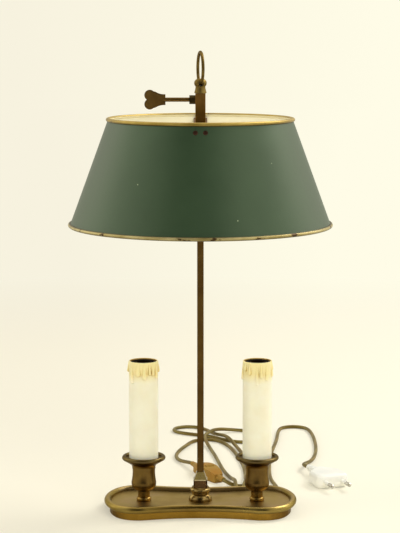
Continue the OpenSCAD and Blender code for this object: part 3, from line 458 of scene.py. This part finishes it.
def shade_paint():
    """Green enamel outside and cream inside, told apart by which way the sheet faces."""
    p = Paint("shade_paint", Specular_IOR_Level=0.75, Specular_Tint=(0.82, 1, 0.78, 1))
    x, y, z = p.axes(p.place)
    facing = p.node("VectorTransform", Vector=p.node("NewGeometry").outputs["Normal"])
    facing.vector_type = "NORMAL"
    facing.convert_from = "WORLD"
    facing.convert_to = "OBJECT"
    normal = p.axes(facing.outputs[0])
    outward = p.math("MULTIPLY_ADD", x, normal[0], p.product(y, normal[1]))
    outside = p.math("GREATER_THAN", outward, 0.0)
    cloud = p.noise(14, detail=5, roughness=0.6)
    green = p.ramp(cloud, (0.3, rgb(33, 52, 32)), (0.7, rgb(42, 62, 40)))
    scuff = p.noise(220, detail=6, roughness=0.75)
    green = p.blend(p.ramp(scuff, (0.7, 0.0), (0.76, 0.3)), green, rgb(120, 135, 105))
    front = p.math("LESS_THAN", y, 0.0)
    for speck_x, speck_z, size in SHADE_SPECKS:
        away = p.distance(p.math("SUBTRACT", x, speck_x * MM),
                          p.math("SUBTRACT", z, speck_z * MM))
        speck = p.product(p.fall(away, size * MM, size * MM / 4), front)
        green = p.blend(speck, green, rgb(158, 172, 138))
    stain = p.noise(22, detail=5, roughness=0.65)
    cream = p.ramp(stain, (0.35, rgb(255, 251, 230)), (0.75, rgb(250, 242, 214)))
    p.link(p.blend(outside, cream, green), "Base Color")
    p.link(p.range(cloud, 0.36, 0.48), "Roughness")
    p.bump(p.noise(700, detail=3), 0.00008, 0.35)
    return p


def rim_paint():
    """Gold paint on the wired rims, chipped to dark metal, with painted shade along the edges of
    each wire.
    """
    p = Paint("rim_paint")
    x, y, z = p.axes(p.place)
    top_low, top_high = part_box("top_rim")
    low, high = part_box("bottom_rim")
    patch = p.noise(45, detail=4)
    gold = p.ramp(patch, (0.35, rgb(146, 122, 52)), (0.7, rgb(180, 156, 82)))
    pale = p.ramp(patch, (0.35, rgb(158, 142, 88)), (0.7, rgb(204, 190, 138)))
    lower = p.math("LESS_THAN", z, top_low.z - 0.01)
    gold = p.blend(lower, gold, pale)
    # The bottom rim is chipped more than the top one, and most in its worn places
    front = p.math("LESS_THAN", y, 0.0)
    wear = 0.03
    for worn_x, reach, share in RIM_WEAR:
        wear = p.math("MULTIPLY_ADD", p.product(p.near(x, worn_x, reach), front), share, wear)
    chip = p.math("MULTIPLY_ADD", lower, wear, p.noise(75, detail=8, roughness=0.72))
    gold = p.blend(p.ramp(chip, (0.62, 0.0), (0.65, 1.0)), gold, rgb(72, 52, 28))
    # Painted shade: dark lines under the top wire and along the top and bottom of the bottom
    # wire
    for level, reach in ((top_low.z, 0.0017), (low.z, 0.0022), (high.z, 0.0011)):
        line = p.near(z, level, reach)
        gold = p.blend(p.product(line, 0.9), gold, rgb(54, 44, 16))
    # The cream paint inside runs over the inner side of the top wire
    wire = top_high.z - top_low.z
    within = p.math("LESS_THAN", p.distance(x, y), top_high.x - 0.55 * wire)
    below = p.math("LESS_THAN", z, top_high.z - 0.4 * wire)
    cream = p.product(p.product(within, below), p.math("SUBTRACT", 1.0, lower))
    p.link(p.blend(cream, gold, rgb(232, 222, 180)), "Base Color")
    p.link(p.range(cream, 0.75, 0.0), "Metallic")
    p.link(p.range(patch, 0.34, 0.5), "Roughness")
    p.bump(p.noise(600, detail=3), 0.00008, 0.4)
    return p


def candle_paint():
    """Cream resin sleeve, ambered in the thick runs of wax near its top, with painted shade in
    the creases between the runs.
    """
    p = Paint("candle_paint", Subsurface_Weight=0.25, Subsurface_Scale=0.004,
              Subsurface_Radius=(1.0, 0.7, 0.4), Coat_Weight=0.2, Coat_Roughness=0.3)
    uneven = p.range(p.noise(180, detail=2), -0.0015, 0.0015)
    height = p.math("ADD", p.axes(p.place)[2], uneven)
    top = p.rise(height, WAX_FROM, WAX_BLEND)
    cloud = p.noise(55, detail=4)
    cream = p.ramp(cloud, (0.35, rgb(250, 245, 220)), (0.7, rgb(246, 238, 208)))
    # Painted shade: the amber is darker in the creases between the runs
    shaded_amber = p.ramp(p.open_air(0.004), (0.35, rgb(138, 102, 40)), (0.66, rgb(208, 176, 94)),
                   (0.93, rgb(245, 229, 168)))
    p.link(p.blend(p.ramp(top, (0.1, 0.0), (0.5, 1.0)), cream, shaded_amber), "Base Color")
    p.link(p.range(cloud, 0.36, 0.5), "Roughness")
    p.bump(p.noise(500, detail=3), 0.00008, 0.3)
    return p


def cord_paint():
    """Gold translucent sheath over two twisted cores, which show as lighter lines."""
    p = Paint("cord_paint", Specular_IOR_Level=0.1)
    u, v, _ = p.axes(p.node("UVMap").outputs[0])
    turn = p.math("SUBTRACT", v, p.product(u, 1 / (CORD_TWIST * MM)))
    wave = p.math("COSINE", p.product(turn, 4 * math.pi))
    tone = p.ramp(p.math("MULTIPLY_ADD", wave, 0.5, 0.5), (0.0, rgb(98, 86, 40)),
                  (0.5, rgb(116, 102, 52)), (1.0, rgb(132, 118, 66)))
    patch = p.noise(24, detail=3)
    tone = p.blend(p.ramp(patch, (0.4, 0.0), (0.7, 0.4)), tone, rgb(126, 92, 42))
    p.link(tone, "Base Color")
    p.link(p.range(patch, 0.3, 0.42), "Roughness")
    p.bump(p.noise(900, detail=2), 0.00005, 0.3)
    return p


def collar_paint():
    """The square block over the hub: purplish brown, with painted light: paler, less metallic
    olive slopes and a bright line on its top edge.
    """
    p = Paint("collar_paint")
    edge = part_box("collar")[1].z - PYRAMID_H
    height = p.axes(p.place)[2]
    patch = p.noise(160, detail=4, roughness=0.6)
    block = p.ramp(patch, (0.35, rgb(74, 54, 34)), (0.65, rgb(94, 70, 44)))
    slope = p.ramp(patch, (0.35, rgb(106, 92, 48)), (0.65, rgb(138, 122, 70)))
    # Painted light: the slopes are paler and less metallic, and the band on the top edge is a
    # painted highlight
    sloping = p.rise(height, edge - 0.0002, 0.0004)
    painted_light = p.near(height, edge - 0.0003, 0.0006)
    p.link(p.blend(painted_light, p.blend(sloping, block, slope), rgb(214, 200, 160)), "Base Color")
    p.link(p.range(sloping, 1.0, 0.15), "Metallic")
    p.link(p.range(patch, 0.34, 0.22), "Roughness")
    p.bump(p.noise(900, detail=2), 0.00006, 0.3)
    return p


def felt_paint():
    p = Paint("felt", Roughness=0.95, Sheen_Weight=0.4, Sheen_Roughness=0.5)
    fibre = p.noise(1500, detail=4, roughness=0.7, distortion=1.5)
    p.link(p.ramp(fibre, (0.3, rgb(28, 62, 42)), (0.7, rgb(44, 84, 58))), "Base Color")
    p.bump(fibre, 0.0004, 0.6)
    return p


# The finish of each material slot
SLOT_PAINTS = {
    "tray_brass": tray_paint(),
    "turned_brass": brass("turned_brass", rgb(172, 150, 98), rgb(124, 100, 58), rgb(58, 38, 28),
                          (0.18, 0.28), patches=90, recess_shade=0.75),
    "cup_brass": cup_paint(),
    "rod_brass": brass("rod_brass", rgb(102, 78, 38), rgb(76, 54, 26), rgb(44, 30, 14),
                       (0.3, 0.45), patches=24, grain=(1, 1, 0.05)),
    "ring_brass": brass("ring_brass", rgb(116, 98, 54), rgb(84, 66, 32), rgb(46, 34, 16),
                        (0.28, 0.42)),
    "key_bronze": brass("key_bronze", rgb(122, 96, 54), rgb(104, 80, 44), rgb(56, 42, 22),
                        (0.38, 0.48), patches=50, flecks=0.1),
    "strap_copper": brass("strap_copper", rgb(118, 84, 52), rgb(92, 64, 38), rgb(54, 36, 20),
                          (0.35, 0.5), patches=70),
    "fitting_brass": brass("fitting_brass", rgb(190, 160, 90), rgb(160, 128, 66),
                           rgb(90, 66, 30), (0.22, 0.35), patches=150),
    "rim_gold": rim_paint(),
    "shade_green": shade_paint(),
    "candle_cream": candle_paint(),
    "holder_black": plain("holder_black", rgb(14, 13, 12), rgb(24, 21, 18), 0.8,
                          Specular_IOR_Level=0.02),
    "cord_gold": cord_paint(),
    "switch_gold": plain("switch_gold", rgb(158, 130, 64), rgb(160, 112, 42), 0.5,
                         Specular_IOR_Level=0.06),
    "plug_white": plain("plug_white", rgb(248, 248, 240), rgb(238, 240, 234), 0.32),
    "pin_nickel": plain("pin_nickel", rgb(200, 198, 192), rgb(176, 172, 164), 0.22,
                        Metallic=1.0),
    "steel": plain("steel", rgb(150, 148, 142), rgb(118, 114, 106), 0.35, Metallic=1.0),
    "felt": felt_paint(),
    "bush_rubber": plain("bush_rubber", rgb(60, 50, 34), rgb(80, 66, 42), 0.6),
    "block_plastic": plain("block_plastic", rgb(230, 228, 218), rgb(214, 210, 196), 0.4),
    "wire_plastic": plain("wire_plastic", rgb(196, 178, 120), rgb(170, 150, 96), 0.4),
}
shell_brass = brass("shell_brass", rgb(58, 46, 28), rgb(44, 36, 24), rgb(20, 17, 14),
                    (0.4, 0.55), patches=120)
# The pieces whose finish differs from the rest of their slot
NODE_PAINTS = {
    "collar": collar_paint(),
    "finial": brass("finial_brass", rgb(140, 122, 72), rgb(112, 92, 48), rgb(60, 46, 26),
                    (0.46, 0.56), patches=80),
    "key_boss": brass("boss_bronze", rgb(80, 68, 40), rgb(58, 48, 28), rgb(34, 28, 16),
                      (0.34, 0.46)),
    "shade_sleeve": brass("sleeve_brass", rgb(142, 106, 56), rgb(114, 86, 38), rgb(66, 46, 22),
                          (0.34, 0.46), patches=40, grain=(1, 1, 0.08)),
    "strap_rivets": brass("rivet_copper", rgb(92, 64, 54), rgb(70, 50, 42), rgb(40, 30, 26),
                          (0.4, 0.55), patches=200),
    "socket_shell_left": shell_brass,
    "socket_shell_right": shell_brass,
    "socket_contacts": shell_brass,
}
for node, thing in nodes.items():
    for slot in thing.material_slots:
        name = slot.material.name.split(".")[0]
        slot.material = NODE_PAINTS.get(node, SLOT_PAINTS[name]).material
for piece in (cord_near, cord_far):
    piece.data.materials.append(SLOT_PAINTS["cord_gold"].material)


# ---------------------------------------------------------------- studio

FLOOR_COLOUR = rgb(252, 247, 228)
FLOOR_SIDE = 8
# Distances in metres between which the lit floor gives way to the plain background, and the
# share of plain background that shows even beside the lamp
FLOOR_NEAR = 0.5
FLOOR_FAR = 1.6
FLOOR_GLOW = 0.35
# The backdrop is painted a little brighter on the right, as painted light; the fan is how wide
# it turns from one colour to the other, as a part of the distance
BACKDROP_LEFT = rgb(247, 242, 223)
BACKDROP_RIGHT = rgb(255, 252, 231)
BACKDROP_FAN = 0.2


def backdrop(tree, across):
    """The background's colour, from how far across it lies as a part of its distance."""
    return tree.blend(tree.rise(across, -BACKDROP_FAN / 2, BACKDROP_FAN),
                      BACKDROP_LEFT, BACKDROP_RIGHT)


def stage_paint():
    """The pale floor: lit and shadowed near the lamp, and the plain background away from it."""
    p = Paint("floor", Base_Color=FLOOR_COLOUR, Roughness=0.9, Specular_IOR_Level=0.1)
    x, y, _ = p.axes(p.place)
    # A constant third part, the camera's distance, keeps the turn of colour soft nearby
    fan = p.math("DIVIDE", x, p.distance(x, y, CAMERA_AT[1] * MM))
    glow = p.node("Emission", Color=backdrop(p, fan), Strength=1.0)
    path = p.node("LightPath")
    seen = p.math("MAXIMUM", path.outputs["Is Camera Ray"],
                  p.math("MAXIMUM", path.outputs["Is Glossy Ray"],
                         path.outputs["Is Transmission Ray"]))
    fade = p.rise(p.distance(x, y), FLOOR_NEAR, FLOOR_FAR - FLOOR_NEAR)
    share = p.product(seen, p.math("MAXIMUM", fade, FLOOR_GLOW))
    mixed = p.node("MixShader", _0=share, _1=p.shader.outputs[0], _2=glow.outputs[0])
    p.tree.links.new(mixed.outputs[0], p.tree.nodes["Material Output"].inputs["Surface"])
    return p


mesh = bpy.data.meshes.new("floor")
mesh.from_pydata([(-FLOOR_SIDE, -FLOOR_SIDE, 0), (FLOOR_SIDE, -FLOOR_SIDE, 0),
                  (FLOOR_SIDE, FLOOR_SIDE, 0), (-FLOOR_SIDE, FLOOR_SIDE, 0)],
                 [], [(0, 1, 2, 3)])
floor = bpy.data.objects.new("floor", mesh)
# A little below the lamp, so that the two don't lie in one plane
floor.location = (0, 0, cad_low.z - 0.2 * MM)
bpy.context.scene.collection.objects.link(floor)
mesh.materials.append(stage_paint().material)

world = bpy.data.worlds.new("studio")
bpy.context.scene.world = world
world.use_nodes = True
air = Nodes(world.node_tree)

# Reflections show the pale backdrop behind the lamp, a darker room in front of it and two
# tall lit panels left and right of the camera
x, y, _ = air.axes(air.tree.nodes.new("ShaderNodeTexCoord").outputs["Generated"])
across = air.rise(x, -1, 2)
depth = air.rise(y, -1, 2)
room = air.ramp(depth, (0.05, 0.03), (0.17, 0.12), (0.3, 0.4), (0.5, 1.3), (0.64, 2.2),
                (0.78, 1.6), (0.94, 0.8))
panels = air.ramp(across, (0.02, 0.2), (0.08, 0.62), (0.2, 0.62), (0.32, 0.0), (0.66, 0.0),
                  (0.74, 1.12), (0.84, 1.12), (0.95, 0.2))
ahead = air.ramp(depth, (0.4, 1.0), (0.52, 0.0))
level = air.math("MULTIPLY_ADD", panels, ahead, room)
tinted = air.node("VectorMath", _0=level, _1=FLOOR_COLOUR[:3])
tinted.operation = "MULTIPLY"

path = air.node("LightPath")
lit = air.node("Background", Color=(1.0, 0.97, 0.9, 1), Strength=0.45)
mirrored = air.node("Background", Color=tinted.outputs[0], Strength=1.0)
seen = air.node("Background", Color=backdrop(air, x), Strength=1.0)
inside = air.node("MixShader", _0=path.outputs["Is Glossy Ray"], _1=lit.outputs[0],
                  _2=mirrored.outputs[0])
shown = air.math("MAXIMUM", path.outputs["Is Camera Ray"],
                 path.outputs["Is Transmission Ray"])
whole = air.node("MixShader", _0=shown, _1=inside.outputs[0], _2=seen.outputs[0])
air.tree.links.new(whole.outputs[0], air.tree.nodes["World Output"].inputs["Surface"])


def softbox(name, place, aim, size, power):
    """A warm area light at place that faces aim, in metres and watts."""
    light = bpy.data.lights.new(name, "AREA")
    light.shape = "RECTANGLE"
    light.size, light.size_y = size
    light.energy = power
    light.color = (1, 0.97, 0.92)
    holder = bpy.data.objects.new(name, light)
    holder.location = place
    holder.rotation_euler = (Vector(aim) - Vector(place)).to_track_quat("-Z", "Y").to_euler()
    bpy.context.scene.collection.objects.link(holder)
    return holder


softbox("key_light", (1.5, 0.9, 2.0), (0, 0, 0.15), (1.2, 1.2), 35)
fill = softbox("fill_light", (-2.0, -0.4, 1.3), (0, 0, 0.2), (1.4, 1.6), 14)
front = softbox("front_light", (0.8, -2.1, 1.5), (0, 0, 0.2), (2.0, 1.4), 28)
fill.visible_glossy = front.visible_glossy = False

bpy.context.scene.view_settings.view_transform = "Standard"
